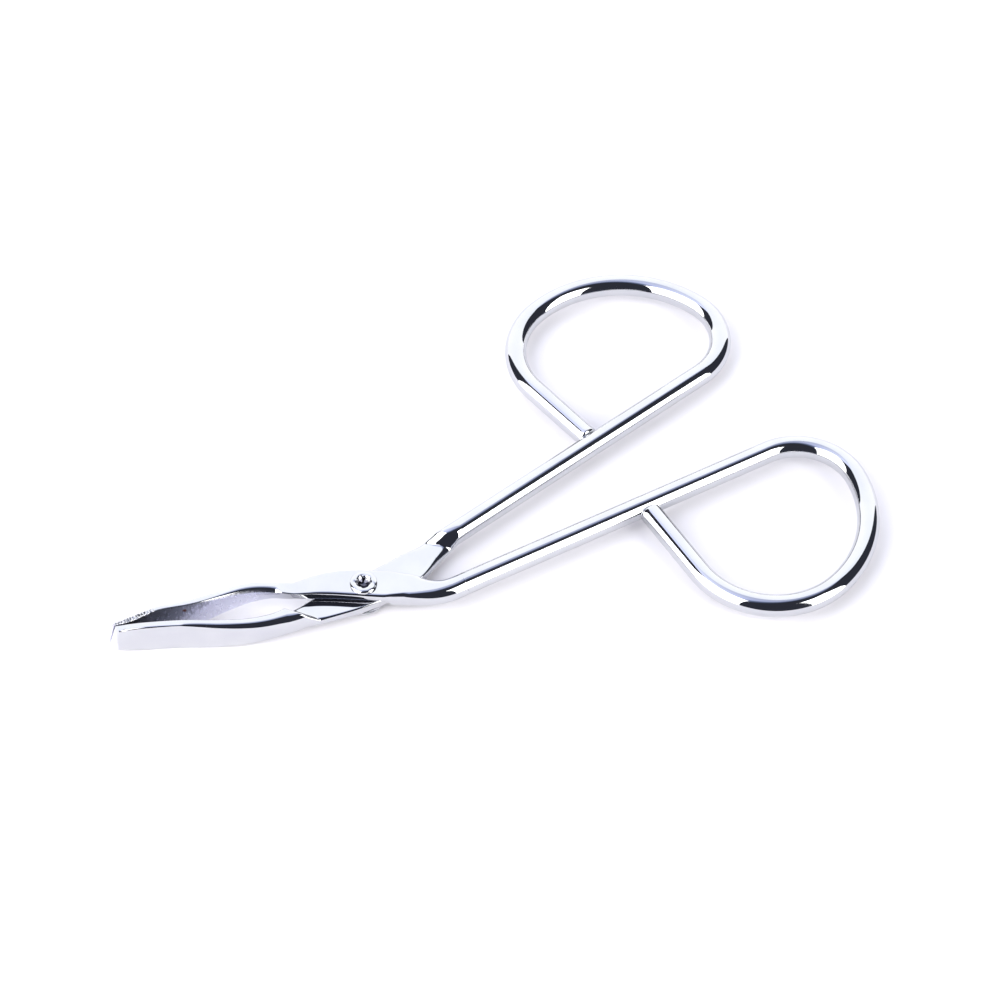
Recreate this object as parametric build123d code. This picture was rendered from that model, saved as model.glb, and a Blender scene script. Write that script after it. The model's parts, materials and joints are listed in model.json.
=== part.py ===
from build123d import *
import os
from math import cos, radians, sin, tan

# Scissor-handled tweezers: two chromed steel levers, each forged from one round wire, and the
# tubular rivet that joins them. Millimetres and degrees.
#
# Working frame: the rivet's axis is Z, the two levers lap on the plane Z = 0, the jaws reach
# towards -X and the finger loops towards +X. The finished parts are moved at the end, so that
# the origin is under the middle of the whole tool, on the surface that it lies on.

# --- driving dimensions -------------------------------------------------------------------
wire_d = 2.5            # round wire that each lever is made from
wire_r = wire_d / 2
lap_gap = 0.04          # play between the two lapped plates
weld_depth = 0.45       # how far a loop's cut end is sunk into its own shank

rivet_shank_d = 1.60
rivet_lower_head_d = 4.40
rivet_lower_head_h = 0.45
rivet_rim_d = 2.96      # the rolled rim on the upper plate
rivet_rim_h = 0.36
rivet_recess_d = 1.45   # the hollow in the middle of the rolled rim
rivet_recess_depth = 0.50
rivet_edge_share = 0.65     # how much of each head's height its rounded edge takes
running_clearance = 0.05    # radial play of the upper lever on the rivet
seat_clearance = 0.02       # radial play of the lower lever, which the rivet grips

cutter_reach = 4.0      # how far the cutters stand past the metal that they remove
cutter_length = 40.0

# Finger loops: shank heading, the straight from the plate to the loop, then (radius, turn) of
# the three bends that close the loop. The last straight runs back to the shank.
lower_shank_heading = 26.9
lower_shank_start = (10.00, 4.84)
lower_shank_length = 37.3
lower_bends = ((6.85, 100.2), (13.6, 88.1), (8.75, 82.9))

upper_shank_heading = 16.0
upper_shank_start = (10.80, -1.49)
upper_shank_length = 38.4
upper_bends = ((6.85, 95.7), (13.8, 68.3), (9.5, 102.6))

# Forged part of each lever, from the wire to the tip. One station a line:
# x, y of its middle, heading, width, underside, top, radius of the lower and upper corners.
lower_stations = (
    (10.00, 4.84, 26.9, 2.50, -wire_r, wire_r, 1.24, 1.24),
    (8.00, 3.62, 27.0, 3.10, -wire_r, wire_r, 0.70, 0.70),
    (5.50, 2.14, 26.0, 4.00, -wire_r, wire_r, 0.45, 0.45),
    (2.50, 0.78, 21.0, 4.20, -wire_r, wire_r, 0.40, 0.35),
    (-1.00, -0.25, 15.5, 3.90, -wire_r, wire_r, 0.50, 0.40),
    (-4.50, -1.10, 15.0, 3.35, -wire_r, wire_r, 0.60, 0.40),
    (-7.50, -1.90, 13.0, 2.35, -1.35, 1.38, 0.80, 0.60),
    (-10.00, -2.50, 7.0, 1.60, -1.60, 1.45, 0.75, 0.70),
    (-12.50, -2.62, -3.0, 1.40, -1.80, 1.55, 0.60, 0.60),
    (-16.00, -2.25, -8.0, 1.10, -2.00, 1.80, 0.35, 0.35),
    (-20.00, -1.50, -9.0, 0.80, -2.10, 2.05, 0.12, 0.12),
    (-23.70, -0.95, -8.0, 0.78, -2.00, 2.00, 0.08, 0.08),
)
upper_stations = (
    (10.80, -1.49, 16.0, 2.50, -wire_r, wire_r, 1.24, 1.24),
    (9.00, -1.98, 10.0, 2.50, -wire_r, wire_r, 1.20, 1.15),
    (7.00, -1.95, -5.0, 2.65, -wire_r, wire_r, 1.20, 1.00),
    (4.80, -1.20, -14.0, 3.15, -1.20, wire_r, 1.10, 0.70),
    (2.00, -0.40, -15.0, 3.55, -1.00, wire_r, 0.95, 0.35),
    (-1.00, 0.45, -15.0, 3.45, -0.80, wire_r, 0.60, 0.35),
    (-3.60, 0.98, -13.0, 3.05, -0.50, wire_r, 0.45, 0.40),
    (-5.60, 1.12, -8.0, 2.45, -0.20, wire_r, 0.40, 0.45),
    (-7.40, 1.10, -10.0, 1.75, 0.15, wire_r, 0.40, 0.50),
    (-9.50, 1.55, -15.0, 1.45, 0.00, 1.50, 0.60, 0.60),
    (-12.00, 1.93, 0.0, 1.40, -0.55, 1.75, 0.60, 0.60),
    (-15.20, 1.60, 8.0, 1.15, -1.20, 1.90, 0.40, 0.40),
    (-19.00, 1.05, 8.0, 0.82, -1.85, 2.10, 0.12, 0.12),
    (-22.70, 0.86, 8.0, 0.60, -1.95, 2.05, 0.08, 0.08),
    (-25.10, 0.48, 9.0, 0.50, -1.80, 1.80, 0.08, 0.08),
)

# The tip faces: a station too, turned in plan and leaning so that the lower corner is longer.
lower_tip = (-27.25, -0.60, 15.0, 0.84, -1.65, 1.65, 0.08, 0.08)
lower_tip_lean = 16.0
upper_tip = (-27.80, 0.26, 0.0, 0.34, -1.60, 1.60, 0.08, 0.08)
upper_tip_lean = 16.0

# Half-lap recesses: heading of the two shoulders, distances of their feet from the rivet's
# axis, and the slope of the shoulders.
lower_recess = dict(heading=-32.2, jaw_side=-5.2, handle_side=7.4, slope=48.0)
upper_recess = dict(heading=25.0, jaw_side=-3.3, handle_side=2.75, slope=70.0)


# --- geometry helpers ---------------------------------------------------------------------
def direction(heading):
    return Vector(cos(radians(heading)), sin(radians(heading)), 0)


def station_face(x, y, heading, width, low, high, low_corner, high_corner, lean=0.0):
    """A rounded section that stands square across the lever at one station."""
    across = direction(heading + 90)
    facing = direction(heading) * cos(radians(lean)) - Vector(0, 0, sin(radians(lean)))
    plane = Plane(origin=(x, y, (low + high) / 2), x_dir=across, z_dir=facing)
    outline = Rectangle(width, high - low)
    corners = outline.vertices().sort_by(Axis.Y)
    outline = fillet(corners[:2], low_corner)
    outline = fillet(outline.vertices().sort_by(Axis.Y)[-2:], high_corner)
    return plane * outline


def forged_body(stations, tip, tip_lean):
    faces = [station_face(*station) for station in stations]
    return loft(faces + [station_face(*tip, lean=tip_lean)])


def loop_path(start, heading, straight, bends, turn_sign):
    """The handle's centreline: shank, three bends and the straight back to the shank."""
    start = Vector(*start)
    edges = [Line(start, start + direction(heading) * straight)]
    for radius, turn in bends:
        last = edges[-1]
        edges.append(JernArc(last @ 1, last % 1, radius, turn_sign * turn))
    tail_start = edges[-1] @ 1
    tail_direction = edges[-1] % 1
    shank_normal = direction(heading + 90) * turn_sign
    to_shank = (tail_start - start).dot(shank_normal)
    approach = -tail_direction.dot(shank_normal)
    tail_length = (to_shank - wire_r + weld_depth) / approach
    edges.append(Line(tail_start, tail_start + tail_direction * tail_length))
    return Wire(edges)


def wire_handle(path):
    profile = Plane(origin=path @ 0, z_dir=path % 0) * Circle(wire_r)
    return sweep(profile, path=path)


def recess(heading, jaw_side, handle_side, slope, above):
    """The tool that presses one lever flat, with a sloping shoulder at each side."""
    side = 1 if above else -1
    run = cutter_reach / tan(radians(slope))
    floor = -side * lap_gap / 2
    far = floor + side * cutter_reach
    # 'across' points from the jaw side to the handle side, square to the shoulders
    across = direction(heading + 90) if heading < 0 else direction(heading - 90)
    along = direction(heading)
    plane = Plane(origin=-along * cutter_length / 2, x_dir=across, z_dir=along)
    up = plane.y_dir.Z
    outline = Polyline(
        (jaw_side, floor * up),
        (handle_side, floor * up),
        (handle_side + run, far * up),
        (jaw_side - run, far * up),
        close=True,
    )
    return extrude(plane * make_face(outline), amount=cutter_length)


def bore(radius):
    return Cylinder(radius, 2 * cutter_reach)


# --- the three pieces ---------------------------------------------------------------------
def make_lower_lever():
    path = loop_path(lower_shank_start, lower_shank_heading, lower_shank_length, lower_bends, 1)
    body = forged_body(lower_stations, lower_tip, lower_tip_lean) + wire_handle(path)
    body = body - recess(**lower_recess, above=True)
    return body - bore(rivet_shank_d / 2 + seat_clearance)


def make_upper_lever():
    path = loop_path(upper_shank_start, upper_shank_heading, upper_shank_length, upper_bends, -1)
    body = forged_body(upper_stations, upper_tip, upper_tip_lean) + wire_handle(path)
    body = body - recess(**upper_recess, above=False)
    return body - bore(rivet_shank_d / 2 + running_clearance)


def make_rivet():
    """Factory head below, shank through both plates, and the rim rolled over on top."""
    seat = wire_r + lap_gap / 2
    shank = Cylinder(rivet_shank_d / 2, 2 * seat + rivet_rim_h)
    shank = Pos(0, 0, rivet_rim_h / 2) * shank
    head = Cylinder(rivet_lower_head_d / 2, rivet_lower_head_h)
    head = fillet(head.edges().sort_by(Axis.Z)[0], rivet_lower_head_h * rivet_edge_share)
    head = Pos(0, 0, -seat - rivet_lower_head_h / 2) * head
    rim = Cylinder(rivet_rim_d / 2, rivet_rim_h)
    rim = fillet(rim.edges().sort_by(Axis.Z)[-1], rivet_rim_h * rivet_edge_share)
    rim = Pos(0, 0, seat + rivet_rim_h / 2) * rim
    # a ball that dips into the rim leaves the round hollow
    opening_r = rivet_recess_d / 2
    ball_r = (opening_r**2 + rivet_recess_depth**2) / (2 * rivet_recess_depth)
    ball = Pos(0, 0, seat + rivet_rim_h - rivet_recess_depth + ball_r) * Sphere(ball_r)
    return shank + head + rim - ball


def main():
    os.makedirs("parts", exist_ok=True)
    pieces = {
        "lower_lever": make_lower_lever(),
        "upper_lever": make_upper_lever(),
        "pivot_rivet": make_rivet(),
    }
    box = Compound(list(pieces.values())).bounding_box()
    to_origin = Location((-box.center().X, -box.center().Y, -box.min.Z))
    print("rivet axis in the stored frame:", to_origin.position)
    for name, solid in pieces.items():
        placed = to_origin * solid
        export_step(placed, f"parts/{name}.step")
        print(name, "volume", round(placed.volume, 2), "solids", len(placed.solids()))


main()
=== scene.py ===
import json
import math

import bpy
import numpy as np
from mathutils import Matrix, Vector


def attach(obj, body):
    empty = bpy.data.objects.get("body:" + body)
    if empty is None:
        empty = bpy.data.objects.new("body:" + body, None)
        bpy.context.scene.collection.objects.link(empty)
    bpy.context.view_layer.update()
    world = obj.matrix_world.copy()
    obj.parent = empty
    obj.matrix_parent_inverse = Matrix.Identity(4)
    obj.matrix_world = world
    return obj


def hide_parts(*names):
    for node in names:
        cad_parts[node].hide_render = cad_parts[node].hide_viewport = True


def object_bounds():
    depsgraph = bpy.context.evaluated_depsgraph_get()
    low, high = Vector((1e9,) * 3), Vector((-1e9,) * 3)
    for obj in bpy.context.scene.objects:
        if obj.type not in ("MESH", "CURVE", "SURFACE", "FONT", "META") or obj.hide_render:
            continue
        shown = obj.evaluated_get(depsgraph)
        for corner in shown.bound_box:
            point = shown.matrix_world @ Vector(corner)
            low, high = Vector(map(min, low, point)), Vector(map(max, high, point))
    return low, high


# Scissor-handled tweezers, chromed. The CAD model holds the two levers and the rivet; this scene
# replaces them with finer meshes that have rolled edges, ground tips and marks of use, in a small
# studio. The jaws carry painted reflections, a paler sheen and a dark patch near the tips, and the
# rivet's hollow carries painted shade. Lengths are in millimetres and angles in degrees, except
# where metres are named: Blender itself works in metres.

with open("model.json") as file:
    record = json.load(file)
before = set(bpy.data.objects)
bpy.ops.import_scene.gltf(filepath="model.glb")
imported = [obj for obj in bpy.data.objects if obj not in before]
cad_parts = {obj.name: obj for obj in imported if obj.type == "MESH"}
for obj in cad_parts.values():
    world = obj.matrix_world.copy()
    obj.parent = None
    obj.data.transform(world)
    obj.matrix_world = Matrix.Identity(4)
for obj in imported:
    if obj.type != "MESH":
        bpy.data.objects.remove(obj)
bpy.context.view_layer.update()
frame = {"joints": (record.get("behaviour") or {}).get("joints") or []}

MM = 0.001
pivot = Vector(frame["joints"][0]["pos_m"]) / MM   # where the rivet's axis crosses the lap plane
floor_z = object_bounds()[0][2] / MM

# --- shape of the levers ------------------------------------------------------------------
wire_r = 1.243          # a hair under the CAD wire, so that the fine mesh stays inside its box
lap_gap = 0.04          # play between the two lapped plates
lower_bore_r = 0.82     # the hole that grips the rivet
upper_bore_r = 0.85     # the hole that turns on it
weld_depth = 0.30       # how far a loop's end is sunk into its own shank
end_round = 0.55        # length of that end's rounding
crease = 0.10           # softness of the pressed creases

# Stations of each forged body, from the wire to the tip: x, y from the rivet's axis, heading,
# width, underside, top, rounding of the two lower edges, of the upper front edge and of the upper
# back edge, then the angles by which the section leans back and is skewed in plan.
lower_stations = (
    (10.00, 4.84, 26.9, 2 * wire_r, -wire_r, wire_r, wire_r, wire_r, wire_r, 0, 0),
    (8.00, 3.62, 27.0, 3.05, -1.25, 1.25, 0.75, 0.60, 0.90, 0, 0),
    (5.50, 2.14, 26.0, 4.00, -1.25, 1.25, 0.35, 0.20, 0.35, 0, 0),
    (2.50, 0.78, 21.0, 4.20, -1.25, 1.25, 0.30, 0.20, 0.30, 0, 0),
    (-1.00, -0.30, 15.5, 3.95, -1.25, 1.25, 0.32, 0.22, 0.30, 0, 0),
    (-4.50, -1.10, 15.0, 3.35, -1.25, 1.25, 0.50, 0.28, 0.30, 0, 0),
    (-7.50, -1.90, 13.0, 2.35, -1.35, 1.38, 0.60, 0.75, 0.40, 0, 0),
    (-10.00, -2.50, 7.0, 1.60, -1.60, 1.45, 0.75, 1.05, 0.40, 0, 0),
    (-12.50, -2.62, -3.0, 1.40, -1.80, 1.55, 0.60, 1.00, 0.40, 0, 0),
    (-16.00, -2.25, -8.0, 1.10, -2.00, 1.80, 0.35, 0.60, 0.30, 0, 0),
    (-19.60, -1.57, -9.0, 0.82, -2.10, 2.04, 0.12, 0.30, 0.12, 0, 0),
    (-20.20, -1.46, -9.0, 0.80, -2.10, 2.05, 0.12, 0.14, 0.12, 0, 0),
    (-23.70, -0.95, -8.0, 0.78, -2.00, 2.00, 0.08, 0.20, 0.08, 0, 0),
    (-25.50, -0.70, -8.0, 0.80, -1.85, 1.85, 0.08, 0.20, 0.08, 0, 0),
    (-27.25, -0.46, -8.0, 0.80, -1.65, 1.65, 0.08, 0.20, 0.08, 16, 27),
)
upper_stations = (
    (10.80, -1.49, 16.0, 2 * wire_r, -wire_r, wire_r, wire_r, wire_r, wire_r, 0, 0),
    (9.00, -1.98, 10.0, 2.50, -1.25, 1.25, 1.23, 1.20, 1.20, 0, 0),
    (7.00, -1.95, -5.0, 2.65, -1.25, 1.25, 1.20, 1.00, 0.90, 0, 0),
    (4.80, -1.20, -14.0, 3.15, -1.20, 1.25, 1.10, 0.60, 0.50, 0, 0),
    (2.00, -0.40, -15.0, 3.55, -1.00, 1.25, 0.60, 0.36, 0.30, 0, 0),
    (-1.00, 0.45, -15.0, 3.45, -0.80, 1.25, 0.50, 0.33, 0.30, 0, 0),
    (-3.60, 0.98, -13.0, 3.05, -0.50, 1.25, 0.42, 0.33, 0.30, 0, 0),
    (-5.60, 1.12, -8.0, 2.45, -0.20, 1.25, 0.36, 0.24, 0.40, 0, 0),
    (-7.40, 1.10, -10.0, 1.75, 0.15, 1.25, 0.30, 0.14, 0.40, 0, 0),
    (-8.60, 1.32, -12.0, 1.55, 0.10, 1.38, 0.30, 0.14, 0.40, 0, 0),
    (-9.50, 1.55, -15.0, 1.45, 0.00, 1.50, 0.40, 0.80, 0.60, 0, 0),
    (-12.00, 1.93, 0.0, 1.40, -0.55, 1.75, 0.50, 0.74, 0.62, 0, 0),
    (-15.20, 1.60, 8.0, 1.15, -1.20, 1.90, 0.40, 0.45, 0.58, 0, 0),
    (-19.00, 1.05, 8.0, 0.82, -1.85, 2.10, 0.12, 0.14, 0.42, 0, 0),
    (-22.70, 0.92, 8.0, 0.58, -1.95, 2.05, 0.08, 0.10, 0.26, 0, 0),
    (-25.10, 0.42, 7.0, 0.62, -1.80, 1.80, 0.08, 0.08, 0.08, 0, 0),
    (-27.77, 0.24, 3.4, 0.30, -1.60, 1.60, 0.08, 0.08, 0.08, 16, 0),
)

# Finger loops, as in the CAD model: the straight shank, the radius and turn of three bends, and
# the side they turn to. A last straight runs back to the shank.
lower_loop = dict(straight=37.3, bends=((6.85, 100.2), (13.6, 88.1), (8.75, 82.9)), turn_sign=1)
upper_loop = dict(straight=38.4, bends=((6.85, 95.7), (13.8, 68.3), (9.5, 102.6)), turn_sign=-1)

# Half-lap seats. Each pair is for the jaw's shoulder and then the handle's: the heading square to
# it, how far along that heading from the rivet's axis its foot is, and its slope.
lower_seat = dict(across=(57.8, 68.0), feet=(-5.2, 7.35), slopes=(60.0, 47.0), above=True)
upper_seat = dict(across=(-65.0, -65.0), feet=(-3.3, 2.75), slopes=(70.0, 70.0), above=False)

# The ragged top of the upper jaw's ground tip: x where it starts and ends, and its height.
upper_burr = dict(start=-22.3, end=-27.4, height=0.10)

# --- fineness of the meshes ---------------------------------------------------------------
outline_points = 96     # points in a ring
ring_step = 0.08        # between two rings of a forged body
bend_step = 2.5         # angle between two rings of a bend
shank_rings = 40        # along the straight shank
tail_rings = 24         # along the straight back to it
end_rings = 7           # over the rounded end
turning_share = 0.35    # length of outline that one radian of turning counts as
sharp_angle = 38        # faces that meet at a larger angle show a hard edge


# --- curves and sections ------------------------------------------------------------------
def heading_vector(heading):
    """Unit vectors along a heading and square to it, in plan."""
    angle = np.radians(heading)
    along = np.stack([np.cos(angle), np.sin(angle)], -1)
    across = np.stack([-np.sin(angle), np.cos(angle)], -1)
    return along, across


def soft_min(a, b, softness):
    return 0.5 * (a + b - np.sqrt((a - b) ** 2 + softness ** 2))


def spline_through(knots, values, where):
    """Natural cubic spline through the values at the knots, one column at a time."""
    h = np.diff(knots)
    n = len(knots)
    system = np.zeros((n, n))
    right = np.zeros((n, values.shape[1]))
    system[0, 0] = system[-1, -1] = 1
    for i in range(1, n - 1):
        system[i, i - 1:i + 2] = h[i - 1], 2 * (h[i - 1] + h[i]), h[i]
        right[i] = 6 * ((values[i + 1] - values[i]) / h[i] - (values[i] - values[i - 1]) / h[i - 1])
    bend = np.linalg.solve(system, right)
    i = np.clip(np.searchsorted(knots, where) - 1, 0, n - 2)
    t = (where - knots[i])[:, None]
    step = h[i][:, None]
    a, b = values[i], values[i + 1]
    slope = (b - a) / step - step * (2 * bend[i] + bend[i + 1]) / 6
    return a + slope * t + bend[i] / 2 * t ** 2 + (bend[i + 1] - bend[i]) / (6 * step) * t ** 3


def steady_through(knots, values, where):
    """Cubic curve through the values that never overshoots them."""
    h = np.diff(knots)[:, None]
    rise = np.diff(values, axis=0) / h
    tangent = np.zeros_like(values)
    same = rise[:-1] * rise[1:] > 0
    with np.errstate(divide="ignore", invalid="ignore"):
        mean = 2 / (1 / rise[:-1] + 1 / rise[1:])
    tangent[1:-1] = np.where(same, mean, 0)
    i = np.clip(np.searchsorted(knots, where) - 1, 0, len(knots) - 2)
    step = h[i]
    t = (where - knots[i])[:, None] / step
    return ((1 + 2 * t) * (1 - t) ** 2 * values[i] + t * (1 - t) ** 2 * step * tangent[i]
            + t * t * (3 - 2 * t) * values[i + 1] + t * t * (t - 1) * step * tangent[i + 1])


def section_outline(width, low, high, low_round, front_round, back_round, press):
    """Closed outline (across, up) of one section, with more points where it turns.
    press is how much of its height the half-lap seat leaves, which would flatten the roundings."""
    half = width / 2
    limit = (high - low) / 2
    arc = np.radians(np.linspace(0, 90, 24))
    quarter = np.stack([np.cos(arc), np.sin(arc)], -1)
    corners = []
    for side, top, radius in ((1, True, back_round), (-1, True, front_round),
                              (-1, False, low_round), (1, False, low_round)):
        rx = min(radius, half)
        rz = min(radius / press, limit)
        centre = np.array([side * (half - rx), (high - rz) if top else (low + rz)])
        turn = quarter if (side > 0) == top else quarter[::-1]
        corners.append(centre + turn * np.array([side * rx, rz if top else -rz]))
    outline = np.concatenate(corners + [corners[0][:1]])
    step = np.diff(outline, axis=0)
    length = np.hypot(step[:, 0], step[:, 1])
    angle = np.unwrap(np.arctan2(step[:, 1], step[:, 0]))
    turning = np.abs(np.diff(angle, prepend=angle[0]))
    weight = np.concatenate([[0], np.cumsum(length + turning_share * turning)])
    keep = np.concatenate([[True], np.diff(weight) > 1e-9])
    at = np.linspace(0, weight[-1], outline_points, endpoint=False)
    return np.stack([np.interp(at, weight[keep], outline[keep, k]) for k in (0, 1)], -1)


def seat_limit(x, y, across, feet, slopes, above):
    """Height that the half-lap seat leaves at each point of the plan."""
    to_jaw, to_handle = (heading_vector(heading)[0] for heading in across)
    past_jaw_foot = feet[0] - x * to_jaw[0] - y * to_jaw[1]
    past_handle_foot = x * to_handle[0] + y * to_handle[1] - feet[1]
    jaw_rise, handle_rise = (math.tan(math.radians(slope)) for slope in slopes)
    rise = np.maximum(jaw_rise * past_jaw_foot, handle_rise * past_handle_foot)
    rise = -soft_min(-rise, 0 * rise, crease)
    side = 1 if above else -1
    return side * (rise - lap_gap / 2)


def pressed(x, y, low, high, seat):
    """Underside and top at each point of the plan, once the seat is pressed in."""
    if not seat:
        return low + 0 * x, high + 0 * x
    limit = seat_limit(x, y, **seat)
    if seat["above"]:
        return low + 0 * x, soft_min(limit, high + 0 * x, crease)
    return -soft_min(-limit, -low + 0 * x, crease), high + 0 * x


def ring_points(station, seat=None):
    """The points of one section, from the rivet's axis."""
    x, y, heading, width, low, high, low_round, front_round, back_round, lean, skew = station
    middle_low, middle_high = pressed(np.array([x]), np.array([y]), low, high, seat)
    press = (middle_high[0] - middle_low[0]) / (high - low)
    outline = section_outline(width, low, high, low_round, front_round, back_round, press)
    a, z = outline[:, 0], outline[:, 1]
    along, across = heading_vector(heading)
    x = x + a * across[0]
    y = y + a * across[1]
    bottom, top = pressed(x, y, low, high, seat)
    z = bottom + (z - low) / (high - low) * (top - bottom)
    shift = z * math.tan(math.radians(lean)) - a * math.tan(math.radians(skew))
    return np.stack([x + shift * along[0], y + shift * along[1], z], -1)


# --- levers -------------------------------------------------------------------------------
def forged_rings(stations, seat):
    """Rings from the tip to the wire. Places follow a smooth curve; the rest never overshoots."""
    table = np.array(stations[::-1], float)
    reach = np.hypot(*np.diff(table[:, :2], axis=0).T)
    knots = np.concatenate([[0], np.cumsum(reach)])
    where = np.linspace(0, knots[-1], int(knots[-1] / ring_step) + 1)
    smooth = spline_through(knots, table[:, :2], where)
    steady = steady_through(knots, table[:, 2:], where)
    return [ring_points(station, seat) for station in np.concatenate([smooth, steady], axis=1)]


def roughen_top(rings, start, end, height):
    """Makes the top edges of a ground tip ragged between two x: mostly nicked, a little raised."""
    band, band_fade = 0.25, 0.20    # how far down from the top the ragged metal reaches
    start_fade, end_fade = 0.8, 0.4
    for ring in rings:
        x, y, z = ring.T
        near_top = np.clip((z - z.max() + band) / band_fade, 0, 1)
        along = np.clip((start - x) / start_fade, 0, 1) * np.clip((x - end) / end_fade, 0, 1)
        ragged = np.sin(19 * x + 5 * y) + 0.8 * np.sin(33 * x - 9 * y + 1)
        ragged = ragged + 0.6 * np.sin(61 * x + 21 * y)
        ring[:, 2] += height * near_top * along * (ragged / 2.4 - 0.5)


def loop_centreline(start, heading, straight, bends, turn_sign):
    """Points and headings along the handle, from the forged body to the loop's end."""
    points, headings = [np.array(start, float)], [heading]

    def run(length, pieces):
        along, _ = heading_vector(headings[-1])
        origin = points[-1]
        for k in range(1, pieces + 1):
            points.append(origin + along * length * k / pieces)
            headings.append(headings[-1])

    run(straight, shank_rings)
    for radius, turn in bends:
        pieces = int(turn / bend_step)
        step = turn / pieces
        chord = 2 * radius * math.sin(math.radians(step / 2))
        for _ in range(pieces):
            along, _ = heading_vector(headings[-1] + turn_sign * step / 2)
            points.append(points[-1] + along * chord)
            headings.append(headings[-1] + turn_sign * step)
    _, shank_across = heading_vector(heading)
    shank_across = shank_across * turn_sign
    along, _ = heading_vector(headings[-1])
    to_shank = (points[-1] - np.array(start)) @ shank_across
    run((to_shank - wire_r + weld_depth) / -(along @ shank_across), tail_rings)
    return points, headings


def handle_rings(stations, loop):
    """Rings along the wire, whose cut end is rounded over."""
    x, y, heading = stations[0][:3]
    points, headings = loop_centreline((x, y), heading, **loop)
    wire = (2 * wire_r, -wire_r, wire_r, wire_r, wire_r, wire_r, 0, 0)
    rings = [ring_points((*point, turn) + wire) for point, turn in zip(points[1:], headings[1:])]
    centre = np.array([*points[-1], 0.0])
    along, _ = heading_vector(headings[-1])
    forward = np.array([*along, 0.0]) * end_round
    end = rings[-1]
    for turn in np.radians(np.linspace(12, 84, end_rings)):
        shrink = 1 - end_round * (1 - math.cos(turn)) / wire_r
        rings.append(centre + (end - centre) * shrink + forward * math.sin(turn))
    # the last rings are drawn back, so that the rounding stops where the wire did
    drawn_back = end_rings + tail_rings // 2
    for k, ring in enumerate(rings[-drawn_back:], 1):
        ring -= forward * k / drawn_back
    return rings


def skin(name, rings):
    """A closed mesh through the rings, ends closed, smooth apart from its sharp corners."""
    count = len(rings[0])
    last = (len(rings) - 1) * count
    faces = []
    for i in range(0, last, count):
        for j in range(count):
            k = (j + 1) % count
            faces.append((i + j, i + k, i + count + k, i + count + j))
    faces.append(tuple(range(count))[::-1])
    faces.append(tuple(range(last, last + count)))
    points = (np.concatenate(rings) + np.array(pivot)) * MM
    mesh = bpy.data.meshes.new(name)
    mesh.from_pydata([tuple(point) for point in points], [], faces)
    mesh.validate()
    mesh.update()
    for polygon in mesh.polygons:
        polygon.use_smooth = True
    mesh.set_sharp_from_angle(angle=math.radians(sharp_angle))
    piece = bpy.data.objects.new(name, mesh)
    bpy.context.scene.collection.objects.link(piece)
    return piece


def drill(piece, radius):
    """Bores the rivet's hole through a lever."""
    sides, reach = 64, 3.0
    turn = np.linspace(0, 2 * math.pi, sides, endpoint=False)
    rings = [np.stack([radius * np.cos(turn), radius * np.sin(turn), 0 * turn + z], -1)
             for z in (-reach, reach)]
    cutter = skin("drill", rings)
    cut = piece.modifiers.new("bore", "BOOLEAN")
    cut.object = cutter
    cut.solver = "EXACT"
    depsgraph = bpy.context.evaluated_depsgraph_get()
    bored = bpy.data.meshes.new_from_object(piece.evaluated_get(depsgraph))
    piece.modifiers.clear()
    piece.data = bored
    bored.set_sharp_from_angle(angle=math.radians(sharp_angle))
    bpy.data.objects.remove(cutter)


def make_lever(name, stations, seat, loop, bore_r, burr=None):
    forged = forged_rings(stations, seat)
    if burr:
        roughen_top(forged, **burr)
    piece = skin(name, forged + handle_rings(stations, loop))
    drill(piece, bore_r)
    return piece


# --- rivet --------------------------------------------------------------------------------
shank_r = 0.8           # below, each round value is the height of a rounded edge
head_r, head_h, head_round = 2.2, 0.45, 0.28
rim_r, rim_h, rim_round = 1.48, 0.36, 0.20
hollow_r, hollow_depth = 0.72, 0.62


def rivet_profile():
    """Radius and height along half a section: lower head, shank, rolled rim, hollow."""
    seat = wire_r + lap_gap / 2
    bottom = -seat - head_h
    profile = [(0.02, bottom), (head_r - head_round, bottom)]
    for angle in range(15, 91, 15):
        turn = math.radians(angle)
        profile.append((head_r - head_round + head_round * math.sin(turn),
                        bottom + head_round - head_round * math.cos(turn)))
    profile += [(head_r, -seat), (shank_r, -seat), (shank_r, seat), (rim_r, seat)]
    edge = seat + rim_h - rim_round     # where the rim starts to roll over
    middle = (rim_r + hollow_r) / 2
    half = (rim_r - hollow_r) / 2
    for angle in range(0, 181, 10):
        turn = math.radians(angle)
        profile.append((middle + half * math.cos(turn), edge + rim_round * math.sin(turn)))
    for k in range(1, 9):
        r = hollow_r * (1 - k / 8) + 0.01
        profile.append((r, edge - (hollow_depth - rim_round) * (1 - (r / hollow_r) ** 2)))
    return profile


def rivet_ring(r, z, turn):
    """One ring of the rivet. Its rolled rim is uneven, and the hollow inside is crumpled."""
    rolled = z > wire_r + lap_gap       # only above the plates
    uneven = 0.018 * np.sin(3 * turn + 0.6) + 0.012 * np.sin(7 * turn + 2.1 * r)
    crumple = 0.035 * np.sin(5 * turn + 9 * r) + 0.028 * np.sin(9 * turn - 7 * r + 1)
    # 0 on the rim and at the middle, 1 in the hollow between them
    inside = float(np.clip((0.95 - r) / 0.25, 0, 1)) * float(np.clip(r / 0.3, 0, 1))
    on_rim = (1 - inside) * (r < rim_r - 0.08)      # its outer edge stays true
    wobble = rolled * (uneven * on_rim + crumple * inside)
    radius = r * (1 + rolled * inside * 0.05 * np.sin(4 * turn + 1))
    return np.stack([radius * np.cos(turn), radius * np.sin(turn), z + wobble], -1)


def make_rivet(name):
    turn = np.linspace(0, 2 * math.pi, outline_points, endpoint=False)
    return skin(name, [rivet_ring(r, z, turn) for r, z in rivet_profile()])


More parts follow.
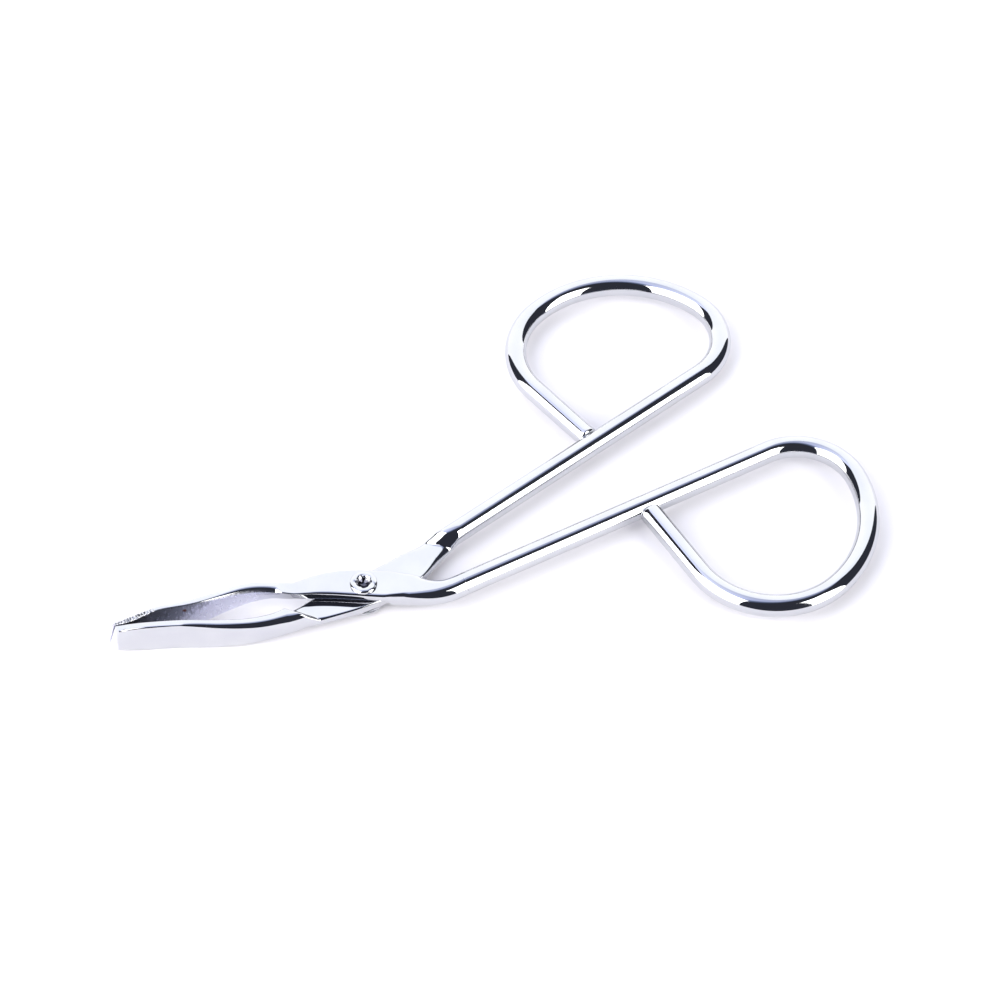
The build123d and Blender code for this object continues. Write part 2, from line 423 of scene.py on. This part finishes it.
# --- materials ----------------------------------------------------------------------------
class Net:
    """A material's nodes. Each method adds one, links it and returns its output."""

    def __init__(self, name):
        self.material = bpy.data.materials.new(name)
        self.material.use_nodes = True
        self.nodes = self.material.node_tree.nodes
        self.links = self.material.node_tree.links
        self.shader = self.nodes["Principled BSDF"]
        self.place = None

    def add(self, kind, inputs, output=0, **settings):
        """An input takes a value or another node's output."""
        node = self.nodes.new("ShaderNode" + kind)
        for name, value in settings.items():
            setattr(node, name, value)
        for socket, value in inputs.items():
            if isinstance(value, bpy.types.NodeSocket):
                self.links.new(value, node.inputs[socket])
            else:
                node.inputs[socket].default_value = value
        return node.outputs[output]

    def own(self, output="Object"):
        """The piece's own coordinates, or its normal in them."""
        if self.place is None:
            self.place = self.nodes.new("ShaderNodeTexCoord")
        return self.place.outputs[output]

    def noise(self, scale, detail, stretch=(1, 1, 1), shift=(0, 0, 0)):
        """Noise over the piece's own coordinates; scale counts features in a metre."""
        place = self.add("Mapping", {"Vector": self.own(), "Scale": stretch, "Location": shift})
        return self.add("TexNoise", {"Vector": place, "Scale": scale, "Detail": detail}, "Fac")

    def map_range(self, value, low, high, to_low=0.0, to_high=1.0):
        inputs = {"Value": value, "From Min": low, "From Max": high,
                  "To Min": to_low, "To Max": to_high}
        return self.add("MapRange", inputs, "Result")

    def fade(self, distance, start, end):
        """0 at start and 1 at end, both in millimetres."""
        return self.map_range(distance, start * MM, end * MM)

    def maths(self, operation, first, second):
        return self.add("Math", {0: first, 1: second}, operation=operation)

    def mix(self, share, first, second):
        """From one number to another or, where the second is a flat colour, from a colour to it."""
        if isinstance(second, tuple):
            return self.add("Mix", {0: share, 6: first, 7: (*second, 1)}, 2, data_type="RGBA")
        return self.add("Mix", {0: share, 2: first, 3: second})

    def ramp(self, value, stops):
        """Colour along a value, through (position, colour) stops."""
        node = self.nodes.new("ShaderNodeValToRGB")
        elements = node.color_ramp.elements
        for element, (position, colour) in zip(elements, (stops[0], stops[-1])):
            element.position = position
            element.color = (*colour, 1)
        for position, colour in stops[1:-1]:
            elements.new(position).color = (*colour, 1)
        self.links.new(value, node.inputs["Fac"])
        return node.outputs["Color"]

    def bump(self, height, distance, strength=1.0, under=None):
        inputs = {"Height": height, "Distance": distance * MM, "Strength": strength}
        if under:
            inputs["Normal"] = under
        return self.add("Bump", inputs)

    def glow(self, colour, strength):
        """Makes the whole material a glow, and returns the material."""
        light = self.add("Emission", {"Color": colour, "Strength": strength})
        self.links.new(light, self.nodes["Material Output"].inputs["Surface"])
        self.nodes.remove(self.shader)
        return self.material


# Marks along the jaws, as distances from the rivet towards the tip.
satin_and_sheen_fade = (8.5, 12.0)    # where the inner face's satin finish and its painted paler sheen fade in
tip_face = (26.9, 27.2)     # where the ground end face starts
dark_reflection_fade = 2.2             # length over which the painted dark reflection fades in
dark_reflection_end = (26.6, 25.6)     # gone by the first, just short of the end face; whole at the second


def ground_jaw(net, inner_side, dark_reflection_from, colour, roughness, normal):
    """Satin on the jaw's inner face and the tip, coloured paler and bluer as a painted reflection,
    with a painted dark reflection on the inner face near the tip.
    """
    x = net.add("SeparateXYZ", {"Vector": net.own()}, "X")
    height = x.node.outputs["Z"]
    facing = net.add("SeparateXYZ", {"Vector": net.own("Normal")}, "Y")
    from_rivet = net.maths("SUBTRACT", pivot.x * MM, x)
    # how far a face looks inward, by the Y of its normal
    inward = net.map_range(facing, 0.55 * inner_side, 0.8 * inner_side)
    satin_and_sheen = net.maths("MULTIPLY", net.fade(from_rivet, *satin_and_sheen_fade), inward)
    satin_and_sheen = net.maths("MAXIMUM", satin_and_sheen, net.fade(from_rivet, *tip_face))
    grain = net.noise(3800, 4, stretch=(1, 0.5, 0.35), shift=(1, 4, 6))
    roughness = net.mix(satin_and_sheen, roughness, net.map_range(grain, 0.3, 0.7, 0.24, 0.38))
    # painted reflection: the satin faces are coloured paler and bluer than the polished plate,
    # standing in for the pale floor and scrim they reflect
    colour = net.mix(satin_and_sheen, colour, (0.83, 0.83, 0.92))
    # painted dark reflection: the inner face near the tip is darkened, with a ragged edge that
    # slants with height
    edge = net.maths("ADD", from_rivet, net.maths("MULTIPLY", height, 1.4))
    edge = net.maths("ADD", edge, net.map_range(grain, 0.3, 0.7, -1.3 * MM, 1.3 * MM))
    dark_reflection = net.maths("MULTIPLY", net.fade(edge, dark_reflection_from, dark_reflection_from + dark_reflection_fade), inward)
    dark_reflection = net.maths("MULTIPLY", dark_reflection, net.fade(from_rivet, *dark_reflection_end))
    colour = net.mix(dark_reflection, colour, (0.36, 0.37, 0.41))
    normal = net.bump(net.maths("MULTIPLY", grain, satin_and_sheen), 0.005, 0.6, normal)
    return colour, roughness, normal


def stain_and_shade_spot(net, colour, middle, radius, spot_colour):
    """A spot of another colour with a ragged edge, used for a real stain and for painted shade in
    the rivet's hollow. Its middle is given from the rivet's axis.
    """
    middle = (pivot + Vector(middle)) * MM
    distance = net.add("VectorMath", {0: net.own(), 1: middle}, "Value", operation="DISTANCE")
    ragged_noise = net.noise(5200, 2, shift=(3, 1, 2))
    reach = net.maths("ADD", distance, net.map_range(ragged_noise, 0.3, 0.7, -0.12 * MM, 0.12 * MM))
    return net.mix(net.fade(reach, radius + 0.09, radius - 0.09), colour, spot_colour)


def chrome(name, inner_side=0, dark_reflection_from=0.0, stain_and_shade=None):
    """Bright chrome plate with smudges, scratches and faint waves.
    inner_side is the sign of Y that the jaw's inner face looks to, or 0 where there is no jaw.
    dark_reflection_from is how far from the rivet the painted dark reflection starts.
    stain_and_shade is what stain_and_shade_spot() takes."""
    net = Net(name)
    smudges = net.noise(260, 4)
    scratches = net.noise(2600, 3, stretch=(0.12, 1, 1))
    waves = net.noise(330, 1, shift=(7, 5, 1))
    colour = net.ramp(smudges, ((0.35, (0.575, 0.58, 0.605)), (0.65, (0.61, 0.615, 0.63))))
    roughness = net.map_range(smudges, 0.35, 0.75, 0.025, 0.075)
    marks = net.map_range(scratches, 0.55, 0.80, 0.0, 0.06)
    roughness = net.maths("ADD", roughness, marks)
    normal = net.bump(waves, 0.006)
    normal = net.bump(scratches, 0.0008, 0.5, normal)
    if inner_side:
        colour, roughness, normal = ground_jaw(
            net, inner_side, dark_reflection_from, colour, roughness, normal)
    if stain_and_shade:
        colour = stain_and_shade_spot(net, colour, *stain_and_shade)
    net.shader.inputs["Metallic"].default_value = 1.0
    net.links.new(colour, net.shader.inputs["Base Color"])
    net.links.new(roughness, net.shader.inputs["Roughness"])
    net.links.new(normal, net.shader.inputs["Normal"])
    return net.material


# --- studio -------------------------------------------------------------------------------
view_heading = 12.49        # the camera looks along +Y, turned this much towards +X
view_elevation = 51.945
view_distance = 347.46
view_aim = (17.12, 8.78, 0.0)   # from the rivet's axis
lens = 112.91
sensor_width = 36.0

scrim_height = 1.2          # metres
graded_height = 1.3         # metres, over which the back panel's colour changes
floor_reach = 4.0           # metres, from the middle to each side

studio = Matrix.Rotation(math.radians(-view_heading), 3, "Z")


def studio_direction(azimuth, elevation):
    """Azimuth 0 is straight away from the camera, 90 to its right."""
    a, e = math.radians(azimuth), math.radians(elevation)
    return studio @ Vector((math.sin(a) * math.cos(e), math.cos(a) * math.cos(e), math.sin(e)))


def flat_card(name, corners, material):
    """A flat sheet with its corners in metres."""
    mesh = bpy.data.meshes.new(name)
    mesh.from_pydata([tuple(c) for c in corners], [], [tuple(range(len(corners)))])
    mesh.materials.append(material)
    card = bpy.data.objects.new(name, mesh)
    bpy.context.scene.collection.objects.link(card)
    return card


def upright_card(name, near, far, top, colour, strength=1.0):
    """A light panel that stands on the floor between two feet, each (azimuth, metres away), and
    that the camera doesn't see. top is the elevation of its upper edge, seen from the object, at
    each foot. Its colour is flat, or stops from the floor (0) to graded_height (1)."""
    feet = [studio_direction(azimuth, 0) * distance for azimuth, distance in (near, far)]
    rises = [math.tan(math.radians(angle)) * foot.length for foot, angle in zip(feet, top)]
    base = Vector((0, 0, floor_z * MM))
    tops = [foot + base + Vector((0, 0, rise)) for foot, rise in zip(feet, rises)]
    corners = (feet[0] + base, feet[1] + base, tops[1], tops[0])
    net = Net(name)
    if isinstance(colour[0], tuple):
        height = net.add("SeparateXYZ", {"Vector": net.own()}, "Z")
        shade = net.ramp(net.map_range(height, 0.0, graded_height), colour)
    else:
        shade = (*colour, 1)
    card = flat_card(name, corners, net.glow(shade, strength))
    card.visible_camera = False


def make_overhead_scrim():
    """A pale bluish scrim overhead. It fades in across a diagonal line over the object and covers
    what lies to the left of it and behind it, as far as the back panel, brightest on the left.
    Distances are shares of its height: x to the camera's right, y away from the camera."""
    net = Net("overhead_scrim")

    def along(direction, low, high, to_low=0.0, to_high=1.0):
        """The distance along a direction, as a share of the way from low to high."""
        distance = net.add("VectorMath", {0: net.own(), 1: direction}, "Value",
                           operation="DOT_PRODUCT")
        return net.map_range(distance, low * scrim_height, high * scrim_height, to_low, to_high)

    fade = ((-0.22, (0.035, 0.04, 0.06)), (-0.10, (0.18, 0.22, 0.36)),
            (0.0, (0.68, 0.75, 1.10)), (0.30, (0.80, 0.85, 1.10)))
    start, end = fade[0][0], fade[-1][0]
    stops = [((distance - start) / (end - start), colour) for distance, colour in fade]
    diagonal = (-math.sqrt(0.5), math.sqrt(0.5), 0)
    colour = net.ramp(along(diagonal, start, end), stops)
    strength = along((1, 0, 0), -0.45, 0.25, 1.55, 0.75)
    outline = ((-0.62, 0.62), (0.42, 0.62), (0.42, 0.11), (-0.24, -0.55), (-0.62, -0.55))
    corners = [(x * scrim_height, y * scrim_height, 0) for x, y in outline]
    card = flat_card("overhead_scrim", corners, net.glow(colour, strength))
    card.rotation_euler = (0, 0, math.radians(-view_heading))
    card.location = (0, 0, scrim_height)
    card.visible_camera = False


def make_floor():
    net = Net("floor")
    net.shader.inputs["Base Color"].default_value = (0.91, 0.895, 0.935, 1)
    net.shader.inputs["Roughness"].default_value = 0.9
    net.shader.inputs["Specular IOR Level"].default_value = 0.1
    corners = [(x * floor_reach, y * floor_reach, floor_z * MM)
               for x, y in ((-1, -1), (1, -1), (1, 1), (-1, 1))]
    flat_card("floor", corners, net.material)


def make_world():
    world = bpy.data.worlds.new("dim_room")
    bpy.context.scene.world = world
    world.use_nodes = True
    background = world.node_tree.nodes["Background"]
    background.inputs["Color"].default_value = (0.04, 0.043, 0.06, 1)
    background.inputs["Strength"].default_value = 1.0


def make_camera():
    camera = bpy.data.cameras.new("camera")
    camera.lens = lens
    camera.sensor_width = sensor_width
    camera.clip_start = 0.01
    camera.clip_end = 50
    holder = bpy.data.objects.new("camera", camera)
    bpy.context.scene.collection.objects.link(holder)
    aim = (pivot + Vector(view_aim)) * MM
    forward = -studio_direction(180, view_elevation)
    holder.location = aim - forward * view_distance * MM
    holder.rotation_euler = forward.to_track_quat("-Z", "Y").to_euler()
    bpy.context.scene.camera = holder


def make_studio():
    make_world()
    make_floor()
    upright_card("left_panel", (-157, 0.22), (-85, 0.60), (66, 62), (1, 1, 1), 4.0)
    back_shades = ((0.0, (1.66, 1.68, 1.74)), (0.35, (1.60, 1.63, 1.71)),
                   (0.75, (1.46, 1.52, 1.62)), (1.0, (1.34, 1.42, 1.56)))
    upright_card("back_panel", (-55, 0.9), (53, 0.9), (57, 55), back_shades)
    upright_card("right_panel", (105, 0.9), (140, 0.9), (56, 55), (1, 1, 0.98), 5.1)
    make_overhead_scrim()


make_studio()
make_camera()
bpy.context.scene.view_settings.view_transform = "Standard"

lower_plate = chrome("chrome_lower", inner_side=1, dark_reflection_from=22.0)
upper_plate = chrome("chrome_upper", inner_side=-1, dark_reflection_from=21.5,
                     stain_and_shade=((-19.4, 0.66, 1.2), 0.21, (0.20, 0.10, 0.06)))
# painted shade: a dark bluish spot over the rivet's rolled hollow darkens the recess
rivet_plate = chrome("chrome_rivet", stain_and_shade=((0, 0, 1.2), 0.66, (0.10, 0.10, 0.13)))
lower = make_lever("lower_lever_forged", lower_stations, lower_seat, lower_loop, lower_bore_r)
upper = make_lever("upper_lever_forged", upper_stations, upper_seat, upper_loop, upper_bore_r,
                   burr=upper_burr)
rivet = make_rivet("rivet_rolled")
for piece, material, node, body, slot in (
    (lower, lower_plate, "lower_lever", "lower_lever", "chrome_wire"),
    (upper, upper_plate, "upper_lever", "upper_lever", "chrome_wire"),
    (rivet, rivet_plate, "pivot_rivet", "lower_lever", "chrome_rivet"),
):
    piece.data.materials.append(material)
    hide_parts(node)
    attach(piece, body)
